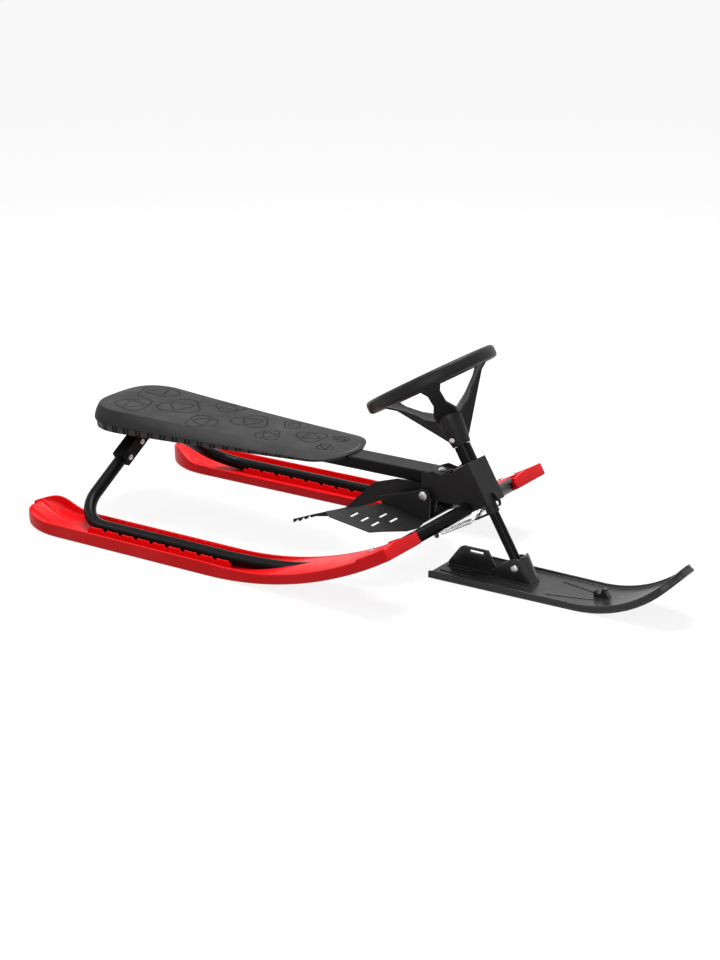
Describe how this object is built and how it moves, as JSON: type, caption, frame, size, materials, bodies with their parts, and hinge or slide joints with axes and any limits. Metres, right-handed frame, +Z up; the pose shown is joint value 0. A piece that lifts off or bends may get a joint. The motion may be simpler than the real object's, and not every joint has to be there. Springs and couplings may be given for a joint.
{
  "type": "steerable snow sled",
  "caption": "Steerable snow sled with red runners, a bent tube frame, a moulded seat on a centre beam, a wheel that turns a front ski, and a toothed foot brake.",
  "frame": {"origin": "centre of the bounding box at the height of the snow", "axes": "+X forward, towards the ski's tip; +Y to the rider's left; +Z up"},
  "size_m": [1.158, 0.505, 0.3818],
  "materials": {
    "runner_red": "glossy moulded red",
    "tube_black": "glossy black paint",
    "sheet_black": "satin black paint",
    "brake_black": "satin black paint",
    "black_plastic": "moulded black",
    "pad_grey": "grained dark grey",
    "base_grey": "moulded dark grey",
    "bush_grey": "moulded grey",
    "zinc_steel": "zinc plated"
  },
  "bodies": {
    "frame": {"runner_right": "runner_red", "frame_tube_right": "tube_black", "leg_socket_right": "tube_black", "socket_bolt_right_lower": "zinc_steel", "socket_bolt_right_upper": "zinc_steel", "tube_clamp_right": "zinc_steel", "runner_bolt_right": "zinc_steel", "spring_right": "zinc_steel", "spring_lug_right": "tube_black", "brake_spacer_right": "black_plastic", "runner_left": "runner_red", "frame_tube_left": "tube_black", "leg_socket_left": "tube_black", "socket_bolt_left_lower": "zinc_steel", "socket_bolt_left_upper": "zinc_steel", "tube_clamp_left": "zinc_steel", "runner_bolt_left": "zinc_steel", "spring_left": "zinc_steel", "spring_lug_left": "tube_black", "brake_spacer_left": "black_plastic", "seat_beam": "tube_black", "beam_rear_plug": "black_plastic", "seat_pad": "pad_grey", "seat_base": "base_grey", "seat_bolt_rear": "zinc_steel", "seat_bolt_front": "zinc_steel", "steering_housing": "sheet_black", "beam_bolt": "zinc_steel", "tow_hook": "black_plastic", "column_bush_lower": "bush_grey", "column_bush_upper": "bush_grey", "brake_axle": "zinc_steel"},
    "steering": {"steering_column": "tube_black", "column_sleeve": "tube_black", "spring_lever": "zinc_steel", "steering_wheel": "black_plastic", "hub_bolt": "zinc_steel"},
    "front_ski": {"ski": "black_plastic", "ski_pivot_bolt": "zinc_steel"},
    "brake": {"brake_foot_plate": "brake_black", "brake_claw": "brake_black"}
  },
  "joints": [
    {"name": "steering_turn", "type": "hinge", "parent": "frame", "child": "steering", "pos_m": [0.2282, 0, 0.1214], "axis": [-0.5087, 0, 0.861], "range_deg": [-30, 30], "stiffness_Nm_per_rad": 2.5, "deforming": ["spring_right", "spring_left"]},
    {"name": "ski_pitch", "type": "hinge", "parent": "steering", "child": "front_ski", "pos_m": [0.2822, 0, 0.03], "axis": [0, -1, 0], "range_deg": [-12, 15]},
    {"name": "brake_swing", "type": "hinge", "parent": "frame", "child": "brake", "pos_m": [0.1228, 0, 0.1312], "axis": [0, -1, 0], "range_deg": [0, 10], "stiffness_Nm_per_rad": 6, "springref_deg": -14.32}
  ]
}
